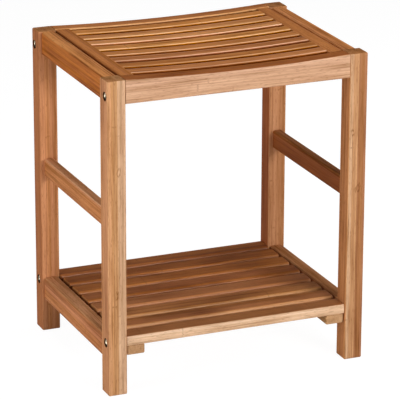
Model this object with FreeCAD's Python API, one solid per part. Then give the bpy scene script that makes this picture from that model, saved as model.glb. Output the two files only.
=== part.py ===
import FreeCAD, Part
import math
import os

# Bamboo bathroom bench: two tenoned side frames carry a dished slatted seat and a slatted shelf.
# Millimetres, +X right, +Y to the rear, +Z up, origin on the floor under the middle of the bench.

# Whole bench
bench_width = 390.0
bench_depth = 300.0
bench_height = 457.0

# Legs, square in section
leg_side = 27.5
leg_edge_round = 2.0

# Side frame rails, centred on the legs but for the top rail, which stands a little inward
top_rail_thickness = 19.5
top_rail_inward = 1.25
top_rail_height = 34.5
top_rail_drop = 0.5
stretcher_thickness = 14.0
stretcher_height = 28.0
stretcher_bottom = 238.5
lower_rail_thickness = 20.0
lower_rail_height = 35.0
lower_rail_bottom = 48.5
rail_edge_round = 3.0

# Seat: the dish is one shallow arc from leg to leg
dish_depth = 4.5
apron_thickness = 24.0
apron_height = 34.5
apron_edge_round = 2.5
stile_width = 20.0
stile_height = 20.0
stile_edge_round = 2.0
stile_leg_clearance = 0.5
seat_slat_count = 8
seat_slat_width = 21.4
seat_slat_middle_thickness = 13.0
seat_slat_top_round = 3.5
seat_slat_bottom_round = 1.5

# Shelf: slats on two cleats
shelf_height = 84.8
shelf_setback = 2.0
shelf_slat_count = 8
shelf_slat_width = 30.0
shelf_slat_thickness = 14.0
shelf_slat_top_round = 4.5
shelf_slat_bottom_round = 2.0
shelf_slat_end_round = 1.5
cleat_width = 27.0
cleat_thickness = 14.5
cleat_leg_clearance = 1.0
cleat_end_setback = 1.5
cleat_edge_round = 2.5

# Tenons and their mortises
tenon_cheek = 3.5
tenon_shoulder = 4.0
slat_tenon_length = 10.0
stile_tenon_length = 9.0
tenon_clearance = 0.15
mortise_end_room = 0.5
tenon_end_wall = 0.5

# Bolts with hex sockets, recessed in the legs, and their barrel nuts
bolt_diameter = 6.0
bolt_head_diameter = 10.0
bolt_head_height = 6.0
bolt_head_round = 0.8
bolt_tip_bevel = 0.8
bolt_socket_width = 5.0
bolt_socket_depth = 3.0
bolt_hole_clearance = 0.3
bolt_hole_end_room = 2.0
apron_bolt_rise = 12.0
apron_bolt_setback = 9.0
shelf_bolt_rise = 6.0
shelf_bolt_setback = 12.0
counterbore_diameter = 13.5
counterbore_depth = 8.0
nut_diameter = 10.0
nut_inset = 35.0
nut_cover = 2.0
nut_edge_bevel = 0.5
nut_hole_clearance = 0.1
thread_clearance = 0.05

# Countersunk screws that hold the slats to the cleats from below
screw_diameter = 4.0
screw_length = 22.0
screw_head_diameter = 7.6
screw_head_depth = 2.6
screw_tip_length = 4.0
screw_sink = 0.3
screw_hole_clearance = 0.1
screw_cross_length = 4.2
screw_cross_width = 1.0
screw_cross_depth = 1.6

# Places worked out from the sizes above
half_width = bench_width / 2
half_depth = bench_depth / 2
leg_inner_x = half_width - leg_side
leg_inner_y = half_depth - leg_side
frame_line_x = half_width - leg_side / 2
top_rail_bottom = bench_height - top_rail_drop - top_rail_height
apron_inner_y = half_depth - apron_thickness
apron_bottom = bench_height - apron_height
stile_outer_x = leg_inner_x - stile_leg_clearance
stile_inner_x = stile_outer_x - stile_width
stile_bottom = bench_height - stile_height
seat_slat_bottom = bench_height - dish_depth - seat_slat_middle_thickness
seat_gap = (2 * apron_inner_y - seat_slat_count * seat_slat_width) / (seat_slat_count + 1)
shelf_half_depth = half_depth - shelf_setback
shelf_bottom = shelf_height - shelf_slat_thickness
shelf_pitch = (2 * shelf_half_depth - shelf_slat_width) / (shelf_slat_count - 1)
cleat_outer_x = leg_inner_x - cleat_leg_clearance
cleat_inner_x = cleat_outer_x - cleat_width
cleat_middle_x = cleat_outer_x - cleat_width / 2
cleat_bottom = shelf_bottom - cleat_thickness
cleat_half_length = shelf_half_depth - cleat_end_setback
upper_bolt_y = half_depth - apron_bolt_setback
lower_bolt_y = half_depth - shelf_bolt_setback
bolt_seat_x = half_width - counterbore_depth
bolt_hole_radius = bolt_diameter / 2 + bolt_hole_clearance
nut_x = leg_inner_x - nut_inset
nut_length = shelf_slat_thickness - 2 * nut_cover
bolt_length = bolt_seat_x - nut_x + nut_diameter / 2
upper_bolt_z = apron_bottom + apron_bolt_rise
lower_bolt_z = shelf_bottom + shelf_bolt_rise
deepest_bolt = max(apron_bolt_setback, shelf_bolt_setback) + counterbore_diameter / 2
rail_tenon_length = leg_side - deepest_bolt - tenon_end_wall - mortise_end_room
dish_radius = (leg_inner_x ** 2 + dish_depth ** 2) / (2 * dish_depth)

# Each kind of rail: its middle line, thickness, height and underside
rails = {
    "top_rail": (frame_line_x - top_rail_inward, top_rail_thickness, top_rail_height, top_rail_bottom),
    "middle_stretcher": (frame_line_x, stretcher_thickness, stretcher_height, stretcher_bottom),
    "lower_rail": (frame_line_x, lower_rail_thickness, lower_rail_height, lower_rail_bottom),
}

# The two bolts in each leg: distance to the rear and height
bolt_lines = [(upper_bolt_y, upper_bolt_z), (lower_bolt_y, lower_bolt_z)]

ALONG_X = FreeCAD.Vector(1, 0, 0)
ALONG_Y = FreeCAD.Vector(0, 1, 0)
ALONG_Z = FreeCAD.Vector(0, 0, 1)
ORIGIN = FreeCAD.Vector(0, 0, 0)


def block(low_x, high_x, low_y, high_y, low_z, high_z):
    """A plain box between two corners."""
    corner = FreeCAD.Vector(low_x, low_y, low_z)
    return Part.makeBox(high_x - low_x, high_y - low_y, high_z - low_z, corner)


def grown(low, high, amount):
    """A range made longer at both ends."""
    return low - amount, high + amount


def edges_along(shape, direction):
    """The edges whose two ends lie apart along a direction, straight or gently curved."""
    picked = []
    for edge in shape.Edges:
        chord = edge.Vertexes[-1].Point.sub(edge.Vertexes[0].Point)
        if abs(chord.dot(direction)) > 0.9 * chord.Length:
            picked.append(edge)
    return picked


def mirrored_x(shape):
    """The same piece on the other side of the bench."""
    return shape.mirror(ORIGIN, ALONG_X)


def mirrored_y(shape):
    """The same piece at the other end of the bench's depth."""
    return shape.mirror(ORIGIN, ALONG_Y)


def moved(shape, x, y, z):
    """A copy of a shape, set off from where it was made."""
    copy = shape.copy()
    copy.translate(FreeCAD.Vector(x, y, z))
    return copy


def dish_z(x):
    """Height of the dished seat at a distance from the middle."""
    return bench_height - dish_depth + dish_radius - math.sqrt(dish_radius ** 2 - x ** 2)


def dished_bar(low_x, high_x, low_y, high_y, bottom):
    """A bar with a flat underside whose top follows the dish."""
    middle_x = (low_x + high_x) / 2
    low_foot = FreeCAD.Vector(low_x, low_y, bottom)
    high_foot = FreeCAD.Vector(high_x, low_y, bottom)
    high_top = FreeCAD.Vector(high_x, low_y, dish_z(high_x))
    middle_top = FreeCAD.Vector(middle_x, low_y, dish_z(middle_x))
    low_top = FreeCAD.Vector(low_x, low_y, dish_z(low_x))
    outline = Part.Wire([
        Part.makeLine(low_foot, high_foot),
        Part.makeLine(high_foot, high_top),
        Part.Arc(high_top, middle_top, low_top).toShape(),
        Part.makeLine(low_top, low_foot),
    ])
    return Part.Face(outline).extrude(FreeCAD.Vector(0, high_y - low_y, 0))


def rail_tenon(line_x, thickness, height, bottom, clearance, end_room):
    """The tenon at a right-hand rail's rear end, or with clearance the mortise that takes it."""
    half = thickness / 2 - tenon_cheek
    low_x, high_x = grown(line_x - half, line_x + half, clearance)
    low_z, high_z = grown(bottom + tenon_shoulder, bottom + height - tenon_shoulder, clearance)
    return block(low_x, high_x, leg_inner_y, leg_inner_y + rail_tenon_length + end_room, low_z, high_z)


def rail(line_x, thickness, height, bottom):
    """A right-hand rail between its legs, with a tenon at each end."""
    low_x = line_x - thickness / 2
    high_x = line_x + thickness / 2
    bar = block(low_x, high_x, -leg_inner_y, leg_inner_y, bottom, bottom + height)
    bar = bar.makeFillet(rail_edge_round, edges_along(bar, ALONG_Y))
    tenon = rail_tenon(line_x, thickness, height, bottom, 0, 0)
    return bar.fuse([tenon, mirrored_y(tenon)]).removeSplitter()


def bolt_passage(bolt_y, bolt_z):
    """The hole of a rear right bolt, from its counterbore in the leg to past its nut."""
    mouth = FreeCAD.Vector(bolt_seat_x, bolt_y, bolt_z)
    recess = Part.makeCylinder(counterbore_diameter / 2, counterbore_depth, mouth, ALONG_X)
    depth = bolt_length + bolt_hole_end_room
    bore = Part.makeCylinder(bolt_hole_radius, depth, mouth, ALONG_X.negative())
    return recess.fuse(bore)


def nut_pocket(bolt_y, bolt_z, opening_z):
    """The blind hole of a rear right barrel nut, bored from the underside."""
    top_z = bolt_z + nut_length / 2 + nut_hole_clearance
    foot = FreeCAD.Vector(nut_x, bolt_y, opening_z)
    return Part.makeCylinder(nut_diameter / 2 + nut_hole_clearance, top_z - opening_z, foot, ALONG_Z)


def leg():
    """The rear right leg, with a mortise for each rail and a hole for each bolt."""
    post = block(leg_inner_x, half_width, leg_inner_y, half_depth, 0, bench_height)
    post = post.makeFillet(leg_edge_round, post.Edges)
    for rail_sizes in rails.values():
        post = post.cut(rail_tenon(*rail_sizes, tenon_clearance, mortise_end_room))
    for bolt_y, bolt_z in bolt_lines:
        post = post.cut(bolt_passage(bolt_y, bolt_z))
    return post


def stile_tenon(clearance, end_room):
    """The tenon at the right-hand stile's rear end, or with clearance its mortise in the apron."""
    low_x, high_x = grown(stile_inner_x + tenon_shoulder, stile_outer_x - tenon_shoulder, clearance)
    low_z = stile_bottom + tenon_shoulder
    high_z = dish_z(stile_inner_x) - tenon_shoulder
    low_z, high_z = grown(low_z, high_z, clearance)
    return block(low_x, high_x, apron_inner_y, apron_inner_y + stile_tenon_length + end_room, low_z, high_z)


def apron():
    """The rear apron between the legs, with its dished top, stile mortises and bolt holes."""
    bar = dished_bar(-leg_inner_x, leg_inner_x, apron_inner_y, half_depth, apron_bottom)
    bar = bar.makeFillet(apron_edge_round, edges_along(bar, ALONG_X))
    cutters = [
        stile_tenon(tenon_clearance, mortise_end_room),
        bolt_passage(upper_bolt_y, upper_bolt_z),
        nut_pocket(upper_bolt_y, upper_bolt_z, apron_bottom),
    ]
    for cutter in cutters:
        bar = bar.cut([cutter, mirrored_x(cutter)])
    return bar


def seat_slat_low_y(index):
    """Front face of a seat slat, counted from the front."""
    return -apron_inner_y + seat_gap + index * (seat_slat_width + seat_gap)


def slat_tenon(low_y, clearance, end_room):
    """The tenon at a seat slat's right end, or with clearance its mortise in the stile."""
    start_y, end_y = grown(low_y + tenon_shoulder, low_y + seat_slat_width - tenon_shoulder, clearance)
    low_z = seat_slat_bottom + tenon_shoulder
    high_z = seat_slat_bottom + seat_slat_middle_thickness - tenon_shoulder / 2
    low_z, high_z = grown(low_z, high_z, clearance)
    end_x = stile_inner_x + slat_tenon_length + end_room
    return block(stile_inner_x, end_x, start_y, end_y, low_z, high_z)


def seat_stile():
    """The right-hand seat stile, tenoned into both aprons and mortised for every slat."""
    bar = dished_bar(stile_inner_x, stile_outer_x, -apron_inner_y, apron_inner_y, stile_bottom)
    outer_edges = []
    for edge in edges_along(bar, ALONG_Y):
        if edge.CenterOfMass.x > (stile_inner_x + stile_outer_x) / 2:
            outer_edges.append(edge)
    bar = bar.makeFillet(stile_edge_round, outer_edges)
    tenon = stile_tenon(0, 0)
    bar = bar.fuse([tenon, mirrored_y(tenon)]).removeSplitter()
    mortises = []
    for index in range(seat_slat_count):
        mortises.append(slat_tenon(seat_slat_low_y(index), tenon_clearance, mortise_end_room))
    return bar.cut(mortises)


def seat_slat(index):
    """One dished seat slat between the stiles, with a tenon at each end."""
    low_y = seat_slat_low_y(index)
    bar = dished_bar(-stile_inner_x, stile_inner_x, low_y, low_y + seat_slat_width, seat_slat_bottom)
    middle_z = seat_slat_bottom + seat_slat_middle_thickness / 2
    top_edges = [edge for edge in edges_along(bar, ALONG_X) if edge.CenterOfMass.z > middle_z]
    bar = bar.makeFillet(seat_slat_top_round, top_edges)
    bottom_edges = [edge for edge in edges_along(bar, ALONG_X) if edge.CenterOfMass.z < middle_z]
    bar = bar.makeFillet(seat_slat_bottom_round, bottom_edges)
    tenon = slat_tenon(low_y, 0, 0)
    return bar.fuse([tenon, mirrored_x(tenon)]).removeSplitter()


def screw_outline(clearance):
    """Half section of a countersunk screw, point up, in the XZ plane."""
    shank = screw_diameter / 2 + clearance
    head = screw_head_diameter / 2 + clearance
    points = [
        FreeCAD.Vector(0, 0, 0),
        FreeCAD.Vector(head, 0, 0),
        FreeCAD.Vector(shank, 0, screw_head_depth),
        FreeCAD.Vector(shank, 0, screw_length - screw_tip_length),
        FreeCAD.Vector(0, 0, screw_length + clearance),
    ]
    return Part.Face(Part.makePolygon(points + points[:1]))


def screw():
    """One countersunk screw standing on its head, with a cross recess."""
    body = screw_outline(0).revolve(ORIGIN, ALONG_Z, 360)
    reach = screw_cross_length / 2
    side = screw_cross_width / 2
    arm = block(-reach, reach, -side, side, 0, screw_cross_depth)
    across = block(-side, side, -reach, reach, 0, screw_cross_depth)
    return body.cut(arm.fuse(across))


def screw_hole():
    """The hole for a screw, with its countersink carried on down past the head."""
    head_radius = screw_head_diameter / 2 + screw_hole_clearance
    mouth = Part.makeCylinder(head_radius, screw_sink, FreeCAD.Vector(0, 0, -screw_sink), ALONG_Z)
    bore = screw_outline(screw_hole_clearance).revolve(ORIGIN, ALONG_Z, 360)
    return bore.fuse(mouth)


def shelf_slat_low_y(index):
    """Front face of a shelf slat, counted from the front."""
    return -shelf_half_depth + index * shelf_pitch


def screw_y(index):
    """Place of a slat's screws: mid slat, but clear of the bolts in the outer slats."""
    middle_y = shelf_slat_low_y(index) + shelf_slat_width / 2
    if index not in (0, shelf_slat_count - 1):
        return middle_y
    inner_edge = shelf_half_depth - shelf_slat_width
    clear_y = (inner_edge + lower_bolt_y - bolt_hole_radius) / 2
    return math.copysign(clear_y, middle_y)


def screw_places():
    """The foot of every cleat screw."""
    places = []
    for index in range(shelf_slat_count):
        for x in (-cleat_middle_x, cleat_middle_x):
            places.append((x, screw_y(index), cleat_bottom + screw_sink))
    return places


def shelf_slat(index):
    """One shelf slat; the front and rear ones are bored for the lower bolts."""
    low_y = shelf_slat_low_y(index)
    bar = block(-leg_inner_x, leg_inner_x, low_y, low_y + shelf_slat_width, shelf_bottom, shelf_height)
    middle_z = shelf_height - shelf_slat_thickness / 2
    top_edges = [edge for edge in edges_along(bar, ALONG_X) if edge.CenterOfMass.z > middle_z]
    bar = bar.makeFillet(shelf_slat_top_round, top_edges)
    bottom_edges = [edge for edge in edges_along(bar, ALONG_X) if edge.CenterOfMass.z < shelf_bottom + 1]
    bar = bar.makeFillet(shelf_slat_bottom_round, bottom_edges)
    end_edges = [edge for edge in bar.Edges if edge.BoundBox.XLength < shelf_slat_end_round]
    bar = bar.makeFillet(shelf_slat_end_round, end_edges)
    hole = screw_hole()
    holes = [moved(hole, *place) for place in screw_places() if place[1] == screw_y(index)]
    bar = bar.cut(holes)
    if index in (0, shelf_slat_count - 1):
        passage = bolt_passage(lower_bolt_y, lower_bolt_z)
        pocket = nut_pocket(lower_bolt_y, lower_bolt_z, shelf_bottom)
        for cutter in (passage, pocket):
            placed = mirrored_y(cutter) if index == 0 else cutter
            bar = bar.cut([placed, mirrored_x(placed)])
    return bar


def shelf_cleat():
    """The right-hand cleat under the shelf slats, bored for its screws."""
    half_length = cleat_half_length
    bar = block(cleat_inner_x, cleat_outer_x, -half_length, half_length, cleat_bottom, shelf_bottom)
    bar = bar.makeFillet(cleat_edge_round, bar.Edges)
    hole = screw_hole()
    return bar.cut([moved(hole, *place) for place in screw_places() if place[0] > 0])


def bolt():
    """One socket-head bolt along X, with the underside of its head at the origin."""
    shank = Part.makeCylinder(bolt_diameter / 2, bolt_length, ORIGIN, ALONG_X.negative())
    tip_edges = [edge for edge in shank.Edges if edge.BoundBox.XMax < -bolt_length / 2]
    shank = shank.makeChamfer(bolt_tip_bevel, tip_edges)
    head = Part.makeCylinder(bolt_head_diameter / 2, bolt_head_height, ORIGIN, ALONG_X)
    rim_edges = [edge for edge in head.Edges if edge.BoundBox.XMin > bolt_head_height / 2]
    head = head.makeFillet(bolt_head_round, rim_edges)
    corner_radius = bolt_socket_width / math.sqrt(3)
    corners = []
    for step in range(7):
        angle = step * math.pi / 3
        corners.append(FreeCAD.Vector(
            bolt_head_height - bolt_socket_depth,
            corner_radius * math.cos(angle),
            corner_radius * math.sin(angle),
        ))
    socket = Part.Face(Part.makePolygon(corners)).extrude(FreeCAD.Vector(bolt_socket_depth, 0, 0))
    return head.fuse(shank).removeSplitter().cut(socket)


def barrel_nut():
    """One barrel nut standing on end about the origin, cross-drilled for its bolt."""
    foot = FreeCAD.Vector(0, 0, -nut_length / 2)
    body = Part.makeCylinder(nut_diameter / 2, nut_length, foot, ALONG_Z)
    rims = [edge for edge in body.Edges if edge.BoundBox.ZLength < nut_edge_bevel]
    body = body.makeChamfer(nut_edge_bevel, rims)
    start = FreeCAD.Vector(-nut_diameter, 0, 0)
    thread = Part.makeCylinder(bolt_diameter / 2 + thread_clearance, 2 * nut_diameter, start, ALONG_X)
    return body.cut(thread)


def at_all_corners(shape, x):
    """Eight copies of a right-hand fastener: both sides, both ends, upper and lower bolts."""
    copies = []
    for bolt_y, bolt_z in bolt_lines:
        for y in (-bolt_y, bolt_y):
            right = moved(shape, x, y, bolt_z)
            copies.extend([mirrored_x(right), right])
    return copies


def save(name, shapes):
    """Write one node; a group of like fasteners is a compound of separate solids."""
    solids = [solid for shape in shapes for solid in shape.Solids]
    whole = solids[0] if len(solids) == 1 else Part.makeCompound(solids)
    whole.exportStep("parts/" + name + ".step")
    state = "valid" if whole.isValid() else "not valid"
    print(name, len(solids), "solids,", state, round(whole.Volume))


os.makedirs("parts", exist_ok=True)

rear_right_leg = leg()
save("leg_rear_right", [rear_right_leg])
save("leg_rear_left", [mirrored_x(rear_right_leg)])
save("leg_front_right", [mirrored_y(rear_right_leg)])
save("leg_front_left", [mirrored_x(mirrored_y(rear_right_leg))])

for rail_name, rail_sizes in rails.items():
    right_rail = rail(*rail_sizes)
    save(rail_name + "_right", [right_rail])
    save(rail_name + "_left", [mirrored_x(right_rail)])

rear_apron = apron()
save("seat_apron_rear", [rear_apron])
save("seat_apron_front", [mirrored_y(rear_apron)])
right_stile = seat_stile()
save("seat_stile_right", [right_stile])
save("seat_stile_left", [mirrored_x(right_stile)])
for slat_index in range(seat_slat_count):
    save("seat_slat_" + str(slat_index + 1), [seat_slat(slat_index)])

for slat_index in range(shelf_slat_count):
    save("shelf_slat_" + str(slat_index + 1), [shelf_slat(slat_index)])
right_cleat = shelf_cleat()
save("shelf_cleat_right", [right_cleat])
save("shelf_cleat_left", [mirrored_x(right_cleat)])

save("frame_bolts", at_all_corners(bolt(), bolt_seat_x))
save("barrel_nuts", at_all_corners(barrel_nut(), nut_x))
cleat_screw = screw()
save("cleat_screws", [moved(cleat_screw, *place) for place in screw_places()])
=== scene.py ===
"""Looks of the bamboo bathroom bench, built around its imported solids.

Laminated bamboo under a satin varnish, held with plated steel fasteners. Metres, +X to the right,
+Y to the rear, +Z up, with the origin on the floor under the middle of the bench.
"""

import itertools
import logging
import math
from dataclasses import dataclass
from enum import Enum
from typing import Callable, Mapping, Optional, Sequence, Union

import bmesh
import bpy
from mathutils import Matrix, Vector


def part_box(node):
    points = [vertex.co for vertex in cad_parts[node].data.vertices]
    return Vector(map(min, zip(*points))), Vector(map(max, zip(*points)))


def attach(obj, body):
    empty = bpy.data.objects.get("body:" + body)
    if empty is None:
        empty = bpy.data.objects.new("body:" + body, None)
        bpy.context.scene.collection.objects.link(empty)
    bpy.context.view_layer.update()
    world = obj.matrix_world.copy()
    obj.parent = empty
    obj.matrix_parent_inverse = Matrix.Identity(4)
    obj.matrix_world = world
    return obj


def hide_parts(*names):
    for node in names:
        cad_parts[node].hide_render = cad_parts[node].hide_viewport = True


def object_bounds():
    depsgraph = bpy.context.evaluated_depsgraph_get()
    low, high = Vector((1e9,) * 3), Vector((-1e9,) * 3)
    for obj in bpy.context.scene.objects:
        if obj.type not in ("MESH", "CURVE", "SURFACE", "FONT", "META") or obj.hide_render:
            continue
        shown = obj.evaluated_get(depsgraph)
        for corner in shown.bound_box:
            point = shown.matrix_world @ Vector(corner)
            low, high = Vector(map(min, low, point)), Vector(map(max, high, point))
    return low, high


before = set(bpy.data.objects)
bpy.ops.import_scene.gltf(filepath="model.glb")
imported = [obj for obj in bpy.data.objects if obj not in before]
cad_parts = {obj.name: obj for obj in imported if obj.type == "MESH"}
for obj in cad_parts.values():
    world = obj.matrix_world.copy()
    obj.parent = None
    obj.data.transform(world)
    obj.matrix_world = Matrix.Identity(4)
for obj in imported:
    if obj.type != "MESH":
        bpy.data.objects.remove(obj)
cad_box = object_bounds()

LOG = logging.getLogger("bench")
BODY = "root"

# Steps that set the draws of one bar apart from the next.
SEED_STEP = 11.7
ROW_STEP = 17.3
LAYER_STEP = 7.9
LAYER_SEED = 0.37
GRAIN_STEP = 3.1

EXACT_CUT = {"operation": "DIFFERENCE", "solver": "EXACT"}

Node = bpy.types.Node
Socket = bpy.types.NodeSocket
Mesh = bpy.types.Mesh
Material = bpy.types.Material
Settings = Optional[Mapping[str, str]]
Colour = tuple[float, float, float, float]
Triple = tuple[float, float, float]
Spots = tuple[tuple[float, float], ...]
Shares = Sequence[tuple[float, Triple]]
Number = Union[float, "Term"]
RadiusRule = Callable[[float, float], float]
Loop = tuple[float, Union[float, RadiusRule]]


class Axis(Enum):
    """A direction of the bench's frame."""

    X = 0
    Y = 1
    Z = 2


class Slot(Enum):
    """The record's material slots of the CAD nodes that new pieces stand for."""

    SEAT = "bamboo_seat"
    BOLTS = "bolt_steel"
    SCREWS = "screw_steel"


class Side(Enum):
    """A side of the bench, seen from the front."""

    LEFT = "left"
    RIGHT = "right"


class End(Enum):
    """An end of the bench's depth."""

    FRONT = "front"
    REAR = "rear"


class Grain(Enum):
    """Layers of the bamboo's grain: how fine they are along it and across it, and their finer layers."""

    CLOUD = (9.0, 30.0, 1.0)
    STREAK = (4.0, 230.0, 2.0)
    FIBRE = (16.0, 520.0, 3.0)
    SPECK = (110.0, 900.0, 1.0)
    BEND = (40.0, 260.0, 2.0)


def colour(chart_code: str) -> Colour:
    """Turn a colour chart's code into the linear values that shaders take.

    Args:
        chart_code: Six hexadecimal digits, red first.

    Returns:
        Red, green and blue in linear light, and an alpha of 1.
    """
    linear = []
    for part in bytes.fromhex(chart_code):
        share = part / 255
        linear.append(share / 12.92 if share <= 0.04045 else ((share + 0.055) / 1.055) ** 2.4)
    return linear[0], linear[1], linear[2], 1.0


def direction(azimuth: float, elevation: float) -> Vector:
    """Direction from the bench to a place round it, by its angle from the front and its height in degrees."""
    turn, lift = math.radians(azimuth), math.radians(elevation)
    return Vector((math.sin(turn) * math.cos(lift), -math.cos(turn) * math.cos(lift), math.sin(lift)))


def add_object(name: str, data: bpy.types.ID) -> bpy.types.Object:
    """Put a mesh, lamp or camera into the scene."""
    made = bpy.data.objects.new(name, data)
    bpy.context.scene.collection.objects.link(made)
    return made


def reckoning(operation: str, swapped: bool = False) -> Callable[..., "Term"]:
    """Make a method of a term that reckons with it, and with another number where there is one.

    Args:
        operation: Blender's name for the operation.
        swapped: Whether the other number comes first.

    Returns:
        The method.
    """

    def method(term: "Term", *others: Number) -> "Term":
        """Reckon with the term."""
        return term.tree.math(operation, *((*others, term) if swapped else (term, *others)))

    return method


class Term:
    """A number that flows through a node tree, so that sums of such numbers read as Python."""

    def __init__(self, tree: "Tree", socket: Socket) -> None:
        """Wrap a socket of a tree."""
        self.tree = tree
        self.socket = socket

    __add__ = __radd__ = reckoning("ADD")
    __mul__ = __rmul__ = reckoning("MULTIPLY")
    __sub__ = reckoning("SUBTRACT")
    __rsub__ = reckoning("SUBTRACT", swapped=True)
    __truediv__ = reckoning("DIVIDE")
    __rtruediv__ = reckoning("DIVIDE", swapped=True)
    __abs__ = reckoning("ABSOLUTE")
    fraction = reckoning("FRACT")
    root = reckoning("SQRT")
    over = reckoning("GREATER_THAN")

    def rise(self, low: float, high: float) -> "Term":
        """Run smoothly from 0 to 1 as the number goes from one value to another."""
        smooth = {"interpolation_type": "SMOOTHSTEP"}
        return self.tree.read("ShaderNodeMapRange", "", smooth, Value=self, From_Min=low, From_Max=high)


class Tree:
    """A node tree that is written from Python."""

    def __init__(self, tree: bpy.types.NodeTree) -> None:
        """Take hold of a tree and empty it."""
        self.tree = tree
        self.tree.nodes.clear()

    def node(self, kind: str, settings: Settings = None, **sockets: object) -> Node:
        """Add one node: its settings first, then the values or links of its sockets.

        Args:
            kind: Blender's name for the node's type.
            settings: The node's own choices.
            sockets: For each input, named with underscores for spaces, a plain value or what is linked
                to it. A list goes to the inputs of that name in turn, and the last one takes the rest.

        Returns:
            The new node.
        """
        made = self.tree.nodes.new(kind)
        for name, value in (settings or {}).items():
            setattr(made, name, value)
        for name, value in sockets.items():
            known = self._named(made.inputs, name.replace("_", " "))
            for index, part in enumerate(value if isinstance(value, list) else [value]):
                self._plug(known[min(index, len(known) - 1)], part)
        return made

    def read(self, kind: str, output: str = "", settings: Settings = None, **sockets: object) -> Term:
        """Add one node and pick one of its outputs, or its first one."""
        return self.term(self.node(kind, settings, **sockets), output)

    def term(self, node: Node, name: str = "") -> Term:
        """Pick one of a node's outputs, or its first one, as a number to reckon with."""
        return Term(self, self._named(node.outputs, name)[0] if name else node.outputs[0])

    def math(self, operation: str, *numbers: Number) -> Term:
        """Add a Math node and hand over its result."""
        return self.read("ShaderNodeMath", "", {"operation": operation}, Value=list(numbers))

    def parts(self, vector: object) -> list[Term]:
        """Split a vector into its three numbers."""
        made = self.node("ShaderNodeSeparateXYZ", Vector=vector)
        return [Term(self, output) for output in made.outputs]

    def vector(self, x: Number = 0.0, y: Number = 0.0, z: Number = 0.0) -> Node:
        """Join three numbers into a vector."""
        return self.node("ShaderNodeCombineXYZ", X=x, Y=y, Z=z)

    @staticmethod
    def _named(sockets: Sequence[Socket], name: str) -> list[Socket]:
        """The sockets of a name that the node's settings leave in use."""
        return [socket for socket in sockets if socket.name == name and not socket.is_unavailable]

    def _plug(self, socket: Socket, value: object) -> None:
        """Link a term, node or socket to an input, or set the input's plain value."""
        if isinstance(value, Term):
            value = value.socket
        elif isinstance(value, Node):
            value = value.outputs[0]
        if isinstance(value, Socket):
            self.tree.links.new(value, socket)
        else:
            socket.default_value = value


class ShaderGraph(Tree):
    """The node tree of one material."""

    def __init__(self, name: str) -> None:
        """Start a new material."""
        self.material = bpy.data.materials.new(name)
        self.material.use_nodes = True
        super().__init__(self.material.node_tree)

    def noise(self, vector: object, detail: float = 1.0, roughness: float = 0.5) -> Term:
        """Sample smooth noise about one half, with some finer layers of some strength."""
        return self.read("ShaderNodeTexNoise", Vector=vector, Scale=1.0, Detail=detail, Roughness=roughness)

    def mix(self, factor: Number, first: object, second: object, blend: str = "MIX") -> Socket:
        """Lay a share of a second colour on a first one and hand over the result."""
        settings = {"data_type": "RGBA", "blend_type": blend}
        return self.read("ShaderNodeMix", "Result", settings, Factor=factor, A=first, B=second).socket

    def ramp(self, place: Term, starts: Shares, steps: str = "CONSTANT") -> Node:
        """Follow a ramp of colours.

        Args:
            place: The place on the ramp, from 0 to 1.
            starts: Where each colour starts, and the colour.
            steps: How the ramp goes from one colour to the next.

        Returns:
            The ramp's node.
        """
        made = self.node("ShaderNodeValToRGB", Fac=place)
        made.color_ramp.interpolation = steps
        elements = made.color_ramp.elements
        while len(elements) < len(starts):
            elements.new(1.0)
        for element, (start, share) in zip(elements, starts):
            element.position = start
            element.color = (*share, 1.0)
        return made

    def finish(self, surface: object) -> Material:
        """Send a shader to the material's surface and hand the material over."""
        self.node("ShaderNodeOutputMaterial", Surface=surface)
        return self.material


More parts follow.
